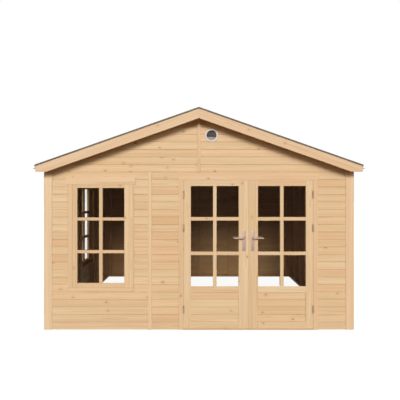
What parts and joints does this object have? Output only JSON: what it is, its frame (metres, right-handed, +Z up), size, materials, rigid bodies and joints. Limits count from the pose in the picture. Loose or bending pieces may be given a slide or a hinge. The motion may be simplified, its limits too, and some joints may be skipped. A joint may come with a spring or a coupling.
{
  "type": "timber garden cabin",
  "caption": "Boarded timber garden cabin with a felted gable roof, a glazed double door that opens outward, barred windows and a round gable vent.",
  "frame": {"origin": "on the ground, under the middle of the roof and of the walls' outline", "axes": "+X to the right along the front, +Y from the front with the double door to the rear, +Z up"},
  "size_m": [3.942, 3.526, 2.6958],
  "materials": {
    "boards": "planed, untreated spruce",
    "trim_timber": "planed, untreated spruce",
    "joinery": "sanded, untreated spruce",
    "frame_timber": "sawn, untreated spruce",
    "roof_boards": "planed, untreated spruce",
    "roofing_felt": "mineral bitumen felt",
    "roof_edging": "dark brown, matt",
    "glass": "clear",
    "hinge_steel": "galvanised, dull",
    "satin_metal": "satin",
    "vent_plastic": "white"
  },
  "bodies": {
    "cabin": {"wall_plates": "frame_timber", "wall_studs": "frame_timber", "corner_posts": "trim_timber", "front_window_boards": "boards", "door_panel_boards": "boards", "rear_boards": "boards", "left_boards": "boards", "right_boards": "boards", "front_gable": "boards", "rear_gable": "boards", "joint_strips": "trim_timber", "front_window_casing": "trim_timber", "front_window_frame": "joinery", "front_window_glass": "glass", "side_window_casing": "trim_timber", "side_window_frame": "joinery", "side_window_glass": "glass", "door_casing": "trim_timber", "door_frame": "joinery", "door_threshold": "joinery", "frame_hinges": "hinge_steel", "eaves_beams": "frame_timber", "ridge_beam": "frame_timber", "rafters": "frame_timber", "left_roof_boards": "roof_boards", "right_roof_boards": "roof_boards", "left_roof_felt": "roofing_felt", "right_roof_felt": "roofing_felt", "front_bargeboards": "trim_timber", "rear_bargeboards": "trim_timber", "verge_trims": "roof_edging", "drip_edges": "roof_edging", "vent": "vent_plastic"},
    "left_door": {"left_door_frame": "joinery", "left_door_panel": "boards", "left_door_glass": "glass", "left_door_hinges": "hinge_steel", "left_door_plates": "satin_metal"},
    "right_door": {"right_door_frame": "joinery", "right_door_panel": "boards", "right_door_glass": "glass", "right_door_hinges": "hinge_steel", "right_door_plates": "satin_metal"},
    "left_handle": {"left_lever": "satin_metal"},
    "right_handle": {"right_lever": "satin_metal"}
  },
  "joints": [
    {"name": "left_door_swing", "type": "hinge", "parent": "cabin", "child": "left_door", "pos_m": [-0.187, -1.621, 0.95], "axis": [0, 0, -1], "range_deg": [0, 160]},
    {"name": "right_door_swing", "type": "hinge", "parent": "cabin", "child": "right_door", "pos_m": [1.395, -1.621, 0.95], "axis": [0, 0, 1], "range_deg": [0, 160]},
    {"name": "left_lever_turn", "type": "hinge", "parent": "left_door", "child": "left_handle", "pos_m": [0.5495, -1.586, 1.126], "axis": [0, -1, 0], "range_deg": [0, 45], "stiffness_Nm_per_rad": 1.5, "springref_deg": -34.38},
    {"name": "right_lever_turn", "type": "hinge", "parent": "right_door", "child": "right_handle", "pos_m": [0.6585, -1.586, 1.126], "axis": [0, 1, 0], "range_deg": [0, 45], "stiffness_Nm_per_rad": 1.5, "springref_deg": -34.38}
  ]
}
